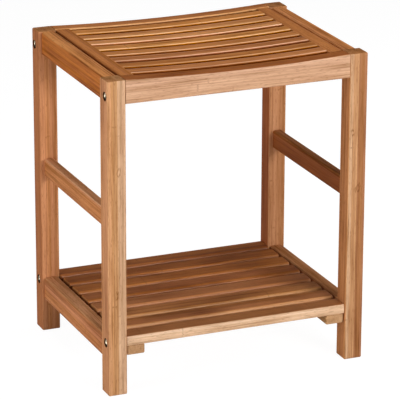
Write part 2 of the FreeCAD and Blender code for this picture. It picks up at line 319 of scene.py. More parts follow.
class GeometryTree(Tree):
    """A geometry node tree with named inputs."""

    KINDS = {float: "NodeSocketFloat", int: "NodeSocketInt", Material: "NodeSocketMaterial"}

    def __init__(self, name: str, values: Mapping[str, object]) -> None:
        """Start a tree.

        Args:
            name: The tree's name.
            values: Each named input and the value that this bench gives it.
        """
        super().__init__(bpy.data.node_groups.new(name, "GeometryNodeTree"))
        self.values = dict(values)
        face = self.tree.interface
        face.new_socket("Geometry", in_out="INPUT", socket_type="NodeSocketGeometry")
        for label, value in values.items():
            face.new_socket(label, in_out="INPUT", socket_type=self.KINDS[type(value)])
        face.new_socket("Geometry", in_out="OUTPUT", socket_type="NodeSocketGeometry")
        self.given = self.node("NodeGroupInput")

    def __getitem__(self, label: str) -> Term:
        """One of the named inputs."""
        return self.term(self.given, label)

    def position(self) -> list[Term]:
        """The three coordinates of each point."""
        return self.parts(self.node("GeometryNodeInputPosition"))

    def block(self, width: Number, depth: Number, height: Number) -> Node:
        """A block about the origin."""
        return self.node("GeometryNodeMeshCube", Size=self.vector(width, depth, height))

    def grid(self, width: Number, depth: Number, rows: Union[int, Term]) -> Node:
        """Rows of two points each, about the origin."""
        return self.node("GeometryNodeMeshGrid", Size_X=width, Size_Y=depth, Vertices_X=2, Vertices_Y=rows)

    def lifted(self, part: object, height: Number) -> Node:
        """A part that is moved up."""
        return self.node("GeometryNodeTransform", Geometry=part, Translation=self.vector(z=height))

    def drawn(self, most: float) -> Term:
        """A number from 0 to a largest one, drawn with the tree's seed."""
        settings = {"data_type": "FLOAT"}
        return self.read("FunctionNodeRandomValue", "Value", settings, Min=0.0, Max=most, Seed=self["Seed"])

    def stored(self, geometry: object, kind: str, domain: str, name: str, value: object) -> Node:
        """A geometry with a named attribute of a kind, on a domain."""
        how = {"data_type": kind, "domain": domain}
        return self.node("GeometryNodeStoreNamedAttribute", how, Geometry=geometry, Name=name, Value=value)

    def smooth_but_sharp(self, mesh: object, sharpest: float) -> Node:
        """Shade a mesh smooth, but keep its sharp edges.

        Args:
            mesh: The mesh.
            sharpest: The largest angle between two faces, in degrees, that is still shaded smooth.

        Returns:
            The shaded mesh.
        """
        kind = "GeometryNodeSetShadeSmooth"
        rounded = self.node(kind, {"domain": "FACE"}, Geometry=mesh, Shade_Smooth=True)
        angle = self.read("GeometryNodeInputMeshEdgeAngle", "Unsigned Angle")
        sharp = angle.over(math.radians(sharpest))
        return self.node(kind, {"domain": "EDGE"}, Geometry=rounded, Selection=sharp, Shade_Smooth=False)

    def spread(self, points: object, part: object, turn: object = (0.0, 0.0, 0.0)) -> Node:
        """Set a part at every point, turned about the three axes."""
        return self.node("GeometryNodeInstanceOnPoints", Points=points, Instance=part, Rotation=turn)

    def close(self, instances: object) -> None:
        """Make instances real, give them the tree's material and send them out."""
        real = self.node("GeometryNodeRealizeInstances", Geometry=instances)
        dressed = self.node("GeometryNodeSetMaterial", Geometry=real, Material=self["Material"])
        self.node("NodeGroupOutput", Geometry=dressed)

    def grow(self, name: str, start: Optional[Mesh] = None) -> bpy.types.Object:
        """Run the tree and keep what it makes as a plain mesh.

        Args:
            name: The new piece's name.
            start: The mesh that the tree works on, where it takes one.

        Returns:
            The piece, at the origin and with no modifier.
        """
        piece = add_object(name, start or bpy.data.meshes.new(name))
        modifier = piece.modifiers.new(name, "NODES")
        modifier.node_group = self.tree
        for item in self.tree.interface.items_tree:
            if item.in_out == "INPUT" and item.name in self.values:
                modifier[item.identifier] = self.values[item.name]
        depsgraph = bpy.context.evaluated_depsgraph_get()
        made = bpy.data.meshes.new_from_object(piece.evaluated_get(depsgraph), depsgraph=depsgraph)
        piece.modifiers.remove(modifier)
        piece.data = made
        made.name = name
        return piece


@dataclass(frozen=True)
class StripLay:
    """How the glued strips lie in a bar.

    Attributes:
        grain: The way that the strips run.
        across: The way that they are counted on the bar's broad faces.
        depth: The way that they are counted on its other faces.
        strip_across: Width of a strip on the broad faces.
        strip_depth: Width of a strip on the other faces.
    """

    grain: Axis
    across: Axis
    depth: Axis
    strip_across: float = 0.0065
    strip_depth: float = 0.009


LEG_LAY = StripLay(Axis.Z, Axis.X, Axis.Y)
RAIL_LAY = StripLay(Axis.Y, Axis.Z, Axis.X)
CROSS_LAY = StripLay(Axis.X, Axis.Y, Axis.Z)
SLAT_LAY = StripLay(Axis.X, Axis.Y, Axis.Z, 0.034, 0.03)


@dataclass(frozen=True)
class BarLook:
    """What sets one bar of bamboo apart from the next.

    Attributes:
        tint: Its mean colour.
        painted_face_shade: How far its faces along X, Y and Z are darkened with painted shade, from 0 to 1.
        spread: How far its strips differ in tone.
        strips: Where strips of a known tone start across it, from 0 to 1, and each one's share of the tint.
        knots: Where curled grain shows on it.
        row: In a row of bars, the share of the tint that each bar has.
        streaky: How far its finer streaks differ in tone.
    """

    tint: str
    painted_face_shade: Triple = (0.0, 0.0, 0.0)
    spread: float = 0.34
    strips: Shares = ()
    knots: tuple[Triple, ...] = ()
    row: tuple[Triple, ...] = ()
    streaky: float = 0.85


@dataclass(frozen=True)
class Bar:
    """One bar of bamboo, or a row of like bars.

    Attributes:
        name: Name of the bar's material.
        lay: How its strips lie.
        centre: The middle of the bar.
        half: Half of its size along X, Y and Z.
        look: What sets it apart.
        seed: Which strips of the pile it got.
        bores: Place along Y and Z of the bolt holes drilled into it along X.
        own_place: Attribute with each point's place in its own bar, where the piece is a row of bars.
        own_number: Attribute with the bar's number in the row.
    """

    name: str
    lay: StripLay
    centre: Triple
    half: Triple
    look: BarLook
    seed: float
    bores: Spots = ()
    own_place: Optional[str] = None
    own_number: Optional[str] = None


@dataclass(frozen=True)
class BambooFinish:
    """Laminated bamboo under a satin varnish.

    Attributes:
        grain: Shares of a bar's mean colour, from its darkest grain to its palest.
        painted_shade_colour: Share of the colour that is left on the faces darkened with painted shade.
        painted_shade_turn: How far a face is turned that way where the painted shade sets in and where it is
            full.
        fleck: Colour of the short dark fibre ends.
        glue: Colour of the line between two strips.
        joint: Colour of the bamboo's own node rings.
        wear_and_highlight: Share of the colour on the eased edges: a little wear where the varnish is thin,
            and a painted highlight where light catches the rounding.
        far_wear_and_highlight: How far that shows on the edges towards +Y or +Z as well, from 0 to 1.
        bore_shade: Colour painted inside the bolt holes: painted shade over the darker bare drilled wood.
        bore_radius: Radius of the recess round a bolt's head.
        end_tones: Colours of end grain, from its pores to its ground.
        pore_scale: How many pores of the end grain a metre holds.
        cloudy: How far its tone drifts along a bar.
        fibrous: How far its fibres differ in tone.
        joint_spacing: Distance between two node rings of a strip.
        roughness: Roughness of the varnish.
        specular: Strength of its mirror reflection.
        coat: How much clear varnish stands on it.
        coat_roughness: Roughness of that varnish.
    """

    grain: tuple[Triple, ...] = (
        (0.45, 0.36, 0.28),
        (0.74, 0.68, 0.60),
        (1.00, 1.00, 1.00),
        (1.16, 1.22, 1.28),
        (1.30, 1.42, 1.55),
    )
    painted_shade_colour: str = "e1b590"
    painted_shade_turn: tuple[float, float] = (0.78, 0.97)
    fleck: str = "7a4723"
    glue: str = "8a552e"
    joint: str = "74431f"
    wear_and_highlight: Triple = (1.06, 1.08, 1.10)
    far_wear_and_highlight: float = 1.0
    bore_shade: str = "3b2414"
    bore_radius: float = 0.0071
    end_tones: tuple[str, ...] = ("5a3a1e", "b07d4c")
    pore_scale: float = 1300.0
    cloudy: float = 0.6
    fibrous: float = 1.15
    joint_spacing: float = 0.26
    roughness: float = 0.6
    specular: float = 0.03
    coat: float = 0.0
    coat_roughness: float = 0.3

    # How strongly these show over the grain, from 0 to 1.
    FLECK_SHARE = 0.34
    GLUE_SHARE = 0.12
    RING_SHARE = 0.5
    HALO_SHARE = 0.05
    END_SHARE = 0.6
    BORE_SHADE_SHARE = 0.85

    # Where these set in and where they are full: flecks by their noise, ends by their turn, others in metres.
    FLECKS = (0.58, 0.70)
    ENDS = (0.55, 0.9)
    RING = (0.0004, 0.0018)
    HALO = (0.002, 0.014)
    EDGE = (-0.0034, -0.0022)
    BROAD_EDGE = (-0.0023, -0.0015)

    # Half the length and width of a knot, how far rings bend, and how far below a face a bore starts.
    KNOT = (0.005, 0.002)
    BEND = 0.006
    BORE_RIM = 0.0005

    def material(self, bar: Bar) -> Material:
        """Make the material of one bar.

        Args:
            bar: The bar that it is for.

        Returns:
            The new material.
        """
        graph = ShaderGraph(bar.name)
        lay, look = bar.lay, bar.look
        place, number = self._place(graph, bar)
        normal = graph.parts(graph.read("ShaderNodeNewGeometry", "Normal"))
        axes = [axis.value for axis in (lay.grain, lay.across, lay.depth)]
        along, across, depth = (place[axis] for axis in axes)
        end_turn, across_turn, depth_turn = (abs(normal[axis]) for axis in axes)
        _, half_across, half_depth = (bar.half[axis] for axis in axes)

        # Each strip draws its tone, the place of its node rings and its tint.
        row = across / lay.strip_across + number * ROW_STEP + bar.seed
        layer = depth / lay.strip_depth + number * LAYER_STEP + bar.seed * LAYER_SEED
        pairs = zip(self._draws(graph, row), self._draws(graph, layer))
        tone_draw, ring_draw, tint_draw = [(first + second).fraction() for first, second in pairs]
        glue = self._glue(graph, row) * (1 - across_turn) + self._glue(graph, layer) * (1 - depth_turn)

        # Grain at several scales, all drawn out along the strips and with one half as its middle.
        shift = number * GRAIN_STEP + bar.seed
        noises = {}
        for kind in Grain:
            fine_along, fine_across, detail = kind.value
            spot = graph.vector(along * fine_along + shift, across * fine_across, depth * fine_across)
            noises[kind] = graph.noise(spot, detail, roughness=0.55)
        cloud, streak, fibre = noises[Grain.CLOUD], noises[Grain.STREAK], noises[Grain.FIBRE]
        fleck = noises[Grain.SPECK].rise(*self.FLECKS)
        wobble = (noises[Grain.BEND] - 0.5) * self.BEND

        # Rings where the cane had its nodes.
        phase = (along / self.joint_spacing + ring_draw).fraction()
        reach = abs((phase - 0.5) * self.joint_spacing + wobble)
        ring = 1 - reach.rise(*self.RING)
        halo = 1 - reach.rise(*self.HALO)

        tone = 0.5 + (tone_draw - 0.5) * look.spread + (cloud - 0.5) * self.cloudy
        tone = tone + (streak - 0.5) * look.streaky + (fibre - 0.5) * self.fibrous + halo * self.HALO_SHARE
        for knot in look.knots:
            tone = tone + self._curl(knot, bar, along, across, wobble)
        last = len(self.grain) - 1
        shares = graph.ramp(tone, [(index / last, share) for index, share in enumerate(self.grain)], "LINEAR")
        base = graph.mix(1.0, shares, colour(look.tint), "MULTIPLY")
        if look.strips:
            strips = graph.ramp(across / (2 * half_across) + 0.5, look.strips)
            base = graph.mix(1 - across_turn, base, strips, "MULTIPLY")
        if look.row:
            count = len(look.row)
            starts = [(index / count, share) for index, share in enumerate(look.row)]
            base = graph.mix(1.0, base, graph.ramp((number + 0.5) / count, starts), "MULTIPLY")
        # Painted shade: faces darken by which way they face, such as tops, sides and the slats' front faces
        # down in the gaps.
        painted_face_shade = 0.0
        for part, amount in zip(normal, look.painted_face_shade):
            if amount:
                painted_face_shade = painted_face_shade + abs(part).rise(*self.painted_shade_turn) * amount
        base = graph.mix(painted_face_shade, base, colour(self.painted_shade_colour), "MULTIPLY")
        hue, saturation = 0.498 + tint_draw * 0.004, 0.98 + tint_draw * 0.05
        base = graph.node("ShaderNodeHueSaturation", Hue=hue, Saturation=saturation, Color=base)
        base = graph.mix(fleck * self.FLECK_SHARE, base, colour(self.fleck))
        base = graph.mix(glue * self.GLUE_SHARE, base, colour(self.glue))
        broken = ring * tint_draw.rise(0.3, 0.7) * fibre.rise(0.3, 0.7)
        base = graph.mix(broken * self.RING_SHARE, base, colour(self.joint))

        # The eased edges are painted paler: partly wear where the varnish is thin, partly a painted highlight
        # where light catches the rounding.
        wear_and_highlight_mask = (abs(across) - half_across).rise(*self.EDGE)
        wear_and_highlight_mask = wear_and_highlight_mask * (1 - (1 - self.far_wear_and_highlight) * across.over(0.0))
        wear_and_highlight_mask = wear_and_highlight_mask * (depth - half_depth).rise(*self.BROAD_EDGE)
        base = graph.mix(wear_and_highlight_mask * streak.rise(0.1, 0.4), base, (*self.wear_and_highlight, 1.0), "MULTIPLY")

        # Across the ends the strips show their pores.
        end = end_turn.rise(*self.ENDS)
        spot = graph.vector(across * self.pore_scale, depth * self.pore_scale)
        pores = graph.read("ShaderNodeTexVoronoi", "Distance", Vector=spot, Scale=1.0)
        ground = (pores + tone_draw * 0.4 + (cloud - 0.5) * 0.3).rise(0.1, 1.0)
        end_colour = graph.mix(ground, colour(self.end_tones[0]), colour(self.end_tones[1]))
        base = graph.mix(end * self.END_SHARE, base, end_colour)
        # Painted shade darkens the bare drilled wood inside the bolt holes.
        for y, z in bar.bores:
            base = graph.mix(self._bore(bar, place, y, z) * self.BORE_SHADE_SHARE, base, colour(self.bore_shade))

        height = fibre * 0.4 - fleck * 0.35 - glue * 0.5 + ring * 0.5
        shader = graph.node(
            "ShaderNodeBsdfPrincipled",
            Base_Color=base,
            Roughness=self.roughness + (fibre - 0.5) * 0.2 + (cloud - 0.5) * 0.15 + end * 0.2,
            Specular_IOR_Level=self.specular,
            Coat_Weight=self.coat,
            Coat_Roughness=self.coat_roughness,
            Normal=graph.node("ShaderNodeBump", Strength=0.2, Distance=0.0002, Height=height),
        )
        return graph.finish(shader)

    @staticmethod
    def _place(graph: ShaderGraph, bar: Bar) -> tuple[list[Term], Number]:
        """Find each point's place from the middle of its bar, and the bar's number.

        Args:
            graph: The material's tree.
            bar: The bar.

        Returns:
            The three coordinates, and the number of the bar in its row.
        """
        if bar.own_place is not None:
            place = graph.read("ShaderNodeAttribute", "Vector", {"attribute_name": bar.own_place})
            number = graph.read("ShaderNodeAttribute", "Fac", {"attribute_name": bar.own_number})
            return graph.parts(place), number
        spot = graph.read("ShaderNodeTexCoord", "Object")
        middle = tuple(-value for value in bar.centre)
        return graph.parts(graph.node("ShaderNodeMapping", Vector=spot, Location=middle)), 0.0

    @staticmethod
    def _draws(graph: ShaderGraph, count: Term) -> list[Term]:
        """Three random numbers for each strip of a row."""
        line = {"voronoi_dimensions": "1D"}
        cells = graph.read("ShaderNodeTexVoronoi", "Color", line, W=count, Scale=1.0, Randomness=0.5)
        drawn = graph.node("ShaderNodeSeparateColor", Color=cells)
        return [Term(graph, output) for output in drawn.outputs]

    @staticmethod
    def _glue(graph: ShaderGraph, count: Term) -> Term:
        """A thin line between two strips of a row."""
        line = {"voronoi_dimensions": "1D", "feature": "DISTANCE_TO_EDGE"}
        edge = graph.read("ShaderNodeTexVoronoi", "", line, W=count, Scale=1.0, Randomness=0.5)
        return 1 - edge.rise(0.0, 0.05)

    def _curl(self, knot: Triple, bar: Bar, along: Term, across: Term, wobble: Term) -> Term:
        """Curled grain round a knot: a dark ring about a paler heart.

        Args:
            knot: Where the knot is.
            bar: The bar that it is in.
            along: Place along the grain, from the bar's middle.
            across: Place across it.
            wobble: What bends the ring a little.

        Returns:
            The difference in tone.
        """
        grain, side = bar.lay.grain.value, bar.lay.across.value
        half_length, half_width = self.KNOT
        rise = (along - (knot[grain] - bar.centre[grain]) + wobble * 2.5) / half_length
        reach = (across - (knot[side] - bar.centre[side]) + wobble * 2.0) / half_width
        far = (rise * rise + reach * reach).root()
        return (1 - far.rise(0.2, 0.7)) * 0.1 - (1 - abs(far - 1.0).rise(0.0, 0.6)) * 0.36

    def _bore(self, bar: Bar, place: Sequence[Term], y: float, z: float) -> Term:
        """One inside a bolt hole along X, else zero."""
        aside = place[1] - (y - bar.centre[1])
        above = place[2] - (z - bar.centre[2])
        far = (aside * aside + above * above).root().over(self.bore_radius)
        return (1 - far) * (1 - abs(place[0]).over(bar.half[0] - self.BORE_RIM))


@dataclass(frozen=True)
class PlatedSteel:
    """Zinc-plated steel of small fasteners.

    Attributes:
        bright: Colour of the clean plating.
        dull: Colour where it has dulled.
        roughness: Roughness of the plating.
        cloud_scale: How many dull patches a metre holds.
        grit_scale: How many grains a metre holds.
    """

    bright: str
    dull: str
    roughness: float = 0.3
    cloud_scale: float = 420.0
    grit_scale: float = 2600.0

    def material(self, name: str) -> Material:
        """Make the plating's material.

        Args:
            name: The material's name.

        Returns:
            The new material.
        """
        graph = ShaderGraph(name)
        spot = graph.parts(graph.read("ShaderNodeTexCoord", "Object"))
        cloud = graph.noise(graph.vector(*(part * self.cloud_scale for part in spot)), 2.0)
        grit = graph.noise(graph.vector(*(part * self.grit_scale for part in spot)), 1.0)
        shader = graph.node(
            "ShaderNodeBsdfPrincipled",
            Base_Color=graph.mix(cloud.rise(0.4, 0.7), colour(self.bright), colour(self.dull)),
            Metallic=1.0,
            Roughness=self.roughness + (cloud - 0.5) * 0.3,
            Normal=graph.node("ShaderNodeBump", Strength=0.15, Distance=0.0001, Height=grit),
        )
        return graph.finish(shader)


def dress_node(
    node: str, lay: StripLay, finish: BambooFinish, look: BarLook, seed: float, bores: Spots = ()
) -> None:
    """Give a bar that stays as the CAD made it its bamboo.

    Args:
        node: The bar's CAD node.
        lay: How its strips lie.
        finish: The bamboo.
        look: What sets the bar apart.
        seed: Which strips it got.
        bores: Place along Y and Z of the bolt holes in it.
    """
    low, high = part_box(node)
    centre, half = tuple((low + high) / 2), tuple((high - low) / 2)
    material = finish.material(Bar(node + "_bamboo", lay, centre, half, look, seed, bores))
    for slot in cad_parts[node].material_slots:
        slot.material = material
    LOG.info("%s: dressed in bamboo", node)


def hand_over(piece: bpy.types.Object, slot: Slot, *nodes: str) -> None:
    """Let a new piece ride on the bench and stand for CAD nodes.

    Args:
        piece: The new piece.
        slot: The record's slot of the nodes that it stands for; not used.
        nodes: The CAD nodes that it stands for.
    """
    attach(piece, BODY)
    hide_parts(*nodes)
    LOG.info("%s: %d faces, stands for %s", piece.name, len(piece.data.polygons), ", ".join(nodes))


@dataclass
class SideFrame:
    """One side of the bench: two legs and three rails.

    Attributes:
        side: Which side.
        legs: Looks of the front and the rear leg.
        rails: Looks of each rail.
        finish: The bamboo of the legs.
        rail_finish: The bamboo of the rails, paler along their inner edges with wear and a painted highlight.
        bolts: Place along Y and Z of each bolt in a rear leg.
        seed: The first of the frame's draws from the pile.
    """

    side: Side
    legs: tuple[BarLook, BarLook]
    rails: Mapping[str, BarLook]
    finish: BambooFinish
    rail_finish: BambooFinish
    bolts: Spots
    seed: float

    def dress(self) -> None:
        """Dress the legs and rails."""
        seeds = itertools.count(self.seed, SEED_STEP)
        for end, look in zip(End, self.legs):
            bores = tuple((-y if end is End.FRONT else y, z) for y, z in self.bolts)
            dress_node(f"leg_{end.value}_{self.side.value}", LEG_LAY, self.finish, look, next(seeds), bores)
        for rail, look in self.rails.items():
            dress_node(f"{rail}_{self.side.value}", RAIL_LAY, self.rail_finish, look, next(seeds))


@dataclass
class Seat:
    """The dished seat: two aprons, two stiles and a row of slats.

    Attributes:
        finish: The bamboo of the aprons and stiles.
        slat_finish: The bamboo of the slats, with a painted highlight and some wear along their edges, and
            painted shade on their front faces down in the gaps.
        slat_count: How many slats there are.
        dish_depth: How far the dish sinks in the middle.
        top_round: Rounding of a slat's upper edges.
        bottom_round: Rounding of its lower edges.
        round_steps: How finely the roundings are cut.
        dish_steps: How many points follow the dish.
        tenon_length: How far a slat's tenon reaches into the stile.
        tenon_shoulder: How far the tenon stands in from the slat's faces.
        sharpest_smooth: The largest angle between two faces, in degrees, that is shaded smooth.
        apron_looks: Looks of the front and the rear apron.
        stile_look: Look of the stiles.
        slat_look: Look of the slats.
        seed: The first of the aprons' and stiles' draws from the pile.
        slat_seed: The slats' draw.
    """

    finish: BambooFinish
    slat_finish: BambooFinish
    slat_count: int = 8
    dish_depth: float = 0.0045
    top_round: float = 0.0035
    bottom_round: float = 0.0015
    round_steps: int = 5
    dish_steps: int = 41
    tenon_length: float = 0.01
    tenon_shoulder: float = 0.004
    sharpest_smooth: float = 35.0
    # In the looks below, the second value paints shade on the faces along X, Y and Z.
    apron_looks: tuple[BarLook, BarLook] = (
        BarLook("c69a7a", (0.0, 0.0, 1.0), 0.14),
        BarLook(
            "cc9462",
            (0.0, 1.0, 0.72),
            0.14,
            # Strips of the rear apron: a painted highlight along the front edge of its top, and darker along
            # its rear edge.
            ((0.0, (1.9, 2.4, 3.0)), (0.16, (1.0, 1.0, 1.0)), (0.88, (0.8, 0.76, 0.72))),
        ),
    )
    stile_look: BarLook = BarLook("b87442")
    slat_look: BarLook = BarLook(
        "d9955a",
        (0.0, 1.0, 0.0),
        0.3,
        row=(
            (0.68, 0.58, 0.53),
            (0.68, 0.58, 0.51),
            (0.69, 0.59, 0.52),
            (0.73, 0.64, 0.57),
            (0.92, 0.88, 0.84),
            (0.93, 0.90, 0.85),
            (0.90, 0.86, 0.78),
            (0.88, 0.80, 0.72),
        ),
    )
    seed: float = 211.0
    slat_seed: float = 307.0

    def dress(self) -> None:
        """Dress the aprons and the stiles."""
        seeds = itertools.count(self.seed, SEED_STEP)
        for end, look in zip(End, self.apron_looks):
            dress_node(f"seat_apron_{end.value}", CROSS_LAY, self.finish, look, next(seeds))
        for side in Side:
            dress_node(f"seat_stile_{side.value}", RAIL_LAY, self.finish, self.stile_look, next(seeds))

    def build(self) -> None:
        """Make the row of dished slats."""
        names = [f"seat_slat_{index + 1}" for index in range(self.slat_count)]
        first_low, first_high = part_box(names[0])
        last_low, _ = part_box(names[-1])
        leg_low, leg_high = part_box("leg_front_right")
        width = first_high.y - first_low.y
        length = 2 * (first_high.x - self.tenon_length)
        thickness = leg_high.z - self.dish_depth - first_low.z
        bar = Bar(
            name="seat_slat_bamboo",
            lay=SLAT_LAY,
            centre=(0.0, 0.0, 0.0),
            half=(length / 2, width / 2, thickness / 2),
            look=self.slat_look,
            seed=self.slat_seed,
            own_place="place_in_slat",
            own_number="slat_number",
        )
        values = {
            "Slat Count": self.slat_count,
            "Slat Length": length,
            "Slat Width": width,
            "Middle Thickness": thickness,
            "Pitch": (last_low.y - first_low.y) / (self.slat_count - 1),
            "First Slat": (first_low.y + first_high.y) / 2,
            "Height": first_low.z + thickness / 2,
            "Dish Radius": (leg_low.x ** 2 + self.dish_depth ** 2) / (2 * self.dish_depth),
            "Top Round": self.top_round,
            "Bottom Round": self.bottom_round,
            "Tenon Length": self.tenon_length,
            "Tenon Shoulder": self.tenon_shoulder,
            "Material": self.slat_finish.material(bar),
        }
        tree = GeometryTree("dished_slats", values)
        self._grow_row(tree, bar)
        hand_over(tree.grow("dished_seat_slats"), Slot.SEAT, *names)

    def _grow_row(self, tree: GeometryTree, bar: Bar) -> None:
        """Write the tree of the slats: one dished bar with tenons, repeated along the seat's depth.

        Args:
            tree: The tree to write.
            bar: Names the attributes that the slats' material reads.
        """
        half_length = tree["Slat Length"] / 2
        line = tree.node(
            "GeometryNodeCurvePrimitiveLine",
            Start=tree.vector(-1 * half_length),
            End=tree.vector(half_length),
        )
        spine = tree.node("GeometryNodeResampleCurve", Curve=line, Count=self.dish_steps)
        width, thickness = tree["Slat Width"], tree["Middle Thickness"]
        outline = tree.node("GeometryNodeCurvePrimitiveQuadrilateral", Width=width, Height=thickness)
        upper = tree.position()[1].over(0.0)
        radius = tree["Bottom Round"] + upper * (tree["Top Round"] - tree["Bottom Round"])
        section = tree.node(
            "GeometryNodeFilletCurve", {"mode": "POLY"}, Curve=outline, Count=self.round_steps, Radius=radius
        )
        straight = tree.node("GeometryNodeCurveToMesh", Curve=spine, Profile_Curve=section, Fill_Caps=True)
        x, y, z = tree.position()
        dish = tree["Dish Radius"]
        lift = (dish - (dish * dish - x * x).root()) * z.over(0.0)
        dished = tree.node("GeometryNodeSetPosition", Geometry=straight, Offset=tree.vector(z=lift))
        shoulder = tree["Tenon Shoulder"]
        full_length = tree["Slat Length"] + tree["Tenon Length"] * 2
        tenon = tree.block(full_length, width - shoulder * 2, thickness - shoulder * 1.5)
        union = {"operation": "UNION", "solver": "EXACT"}
        parts = [dished, tree.lifted(tenon, shoulder * 0.25)]
        whole = tree.node("GeometryNodeMeshBoolean", union, Mesh=parts)
        slat = tree.smooth_but_sharp(whole, self.sharpest_smooth)
        placed = tree.stored(slat, "FLOAT_VECTOR", "POINT", bar.own_place, tree.vector(x, y, z - lift))
        row = tree.node(
            "GeometryNodeMeshLine",
            Count=tree["Slat Count"],
            Start_Location=tree.vector(0.0, tree["First Slat"], tree["Height"]),
            Offset=tree.vector(y=tree["Pitch"]),
        )
        number = tree.node("GeometryNodeInputIndex")
        tree.close(tree.stored(tree.spread(row, placed), "FLOAT", "INSTANCE", bar.own_number, number))


@dataclass
class Shelf:
    """The lower shelf: a row of slats on two cleats.

    Attributes:
        front_finish: The bamboo of the front slat.
        finish: The bamboo of the other slats.
        cleat_finish: The bamboo of the cleats.
        slat_count: How many slats there are.
        slat_looks: Looks of the slats from the front on; the last one is for all the rest. The rear slats are
            tinted darker as painted shade under the seat.
        cleat_look: Look of the cleats.
        seed: The first of the shelf's draws from the pile.
    """

    front_finish: BambooFinish
    finish: BambooFinish
    cleat_finish: BambooFinish
    slat_count: int = 8
    # The second value of each look paints shade on the slats' tops; the rear slats' darker tints are painted
    # shade under the seat.
    slat_looks: tuple[BarLook, ...] = (
        BarLook("d8b18f", (0.0, 0.0, 1.0), 0.12, streaky=0.5),
        BarLook("c08856", (0.0, 0.0, 0.58)),
        BarLook("c28a57", (0.0, 0.0, 0.5)),
        BarLook("a96c3d", (0.0, 0.0, 0.15)),
        BarLook("a86839", (0.0, 0.0, 0.15)),
    )
    cleat_look: BarLook = BarLook("bb8f64")
    seed: float = 409.0

    def dress(self) -> None:
        """Dress the slats and the cleats."""
        seeds = itertools.count(self.seed, SEED_STEP)
        for index in range(self.slat_count):
            look = self.slat_looks[min(index, len(self.slat_looks) - 1)]
            finish = self.front_finish if index == 0 else self.finish
            dress_node(f"shelf_slat_{index + 1}", SLAT_LAY, finish, look, next(seeds))
        for side in Side:
            dress_node(f"shelf_cleat_{side.value}", RAIL_LAY, self.cleat_finish, self.cleat_look, next(seeds))


@dataclass(frozen=True)
class Turning:
    """A turned steel part: loops of points round an axis, from one end to the other.

    Attributes:
        sides: How many points each loop has.
        thread_steps: How many loops each turn of a thread has.
        rim_steps: How many steps a rounded rim has.
    """

    sides: int = 24
    thread_steps: int = 4
    rim_steps: int = 3

    def mesh(self, name: str, loops: Sequence[Loop], along: Matrix) -> Mesh:
        """Bridge the loops into a closed mesh.

        Args:
            name: The mesh's name.
            loops: For each loop its place on the axis and its radius, or the radius by place and angle.
            along: Turns the part's own axis, Z, to where it points on the bench.

        Returns:
            The mesh.
        """
        shape = bmesh.new()
        rows = []
        for place, rule in loops:
            row = []
            for step in range(self.sides):
                angle = 2 * math.pi * step / self.sides
                reach = rule(place, angle) if callable(rule) else rule
                spot = Vector((reach * math.cos(angle), reach * math.sin(angle), place))
                row.append(shape.verts.new(along @ spot))
            rows.append(row)
        for lower, upper in zip(rows, rows[1:]):
            for step in range(self.sides):
                turn = (step + 1) % self.sides
                shape.faces.new((lower[step], lower[turn], upper[turn], upper[step]))
        shape.faces.new(list(reversed(rows[0])))
        shape.faces.new(rows[-1])
        bmesh.ops.recalc_face_normals(shape, faces=shape.faces)
        mesh = bpy.data.meshes.new(name)
        shape.to_mesh(mesh)
        shape.free()
        return mesh

    @staticmethod
    def hexagon(flats: float) -> RadiusRule:
        """A six-sided loop, by its width across the flats."""
        sixth = math.pi / 3
        return lambda place, angle: flats / 2 / math.cos((angle + sixth / 2) % sixth - sixth / 2)

    def thread(self, start: float, length: float, root: float, crest: float, pitch: float) -> list[Loop]:
        """Loops of a screw thread.

        Args:
            start: Where the thread starts on the axis.
            length: How far it goes on from there; less than zero where it goes back.
            root: Its inner radius.
            crest: Its outer radius.
            pitch: Distance between two turns.

        Returns:
            The loops between the thread's ends.
        """

        def rule(place: float, angle: float) -> float:
            """Radius at a place and angle."""
            phase = (place / pitch - angle / (2 * math.pi)) % 1.0
            return root + (crest - root) * (1 - abs(2 * phase - 1))

        steps = round(abs(length) / pitch * self.thread_steps)
        return [(start + step * length / steps, rule) for step in range(1, steps)]

    def rounded(self, place: float, radius: float, ease: float) -> list[Loop]:
        """Loops of a rim at a place on the axis, rounded by a radius, from the end inward."""
        loops = []
        for step in range(self.rim_steps + 1):
            rise = math.sin(math.pi / 2 * step / self.rim_steps)
            loops.append((place - ease * (1 - rise), radius - ease + ease * rise))
        return loops


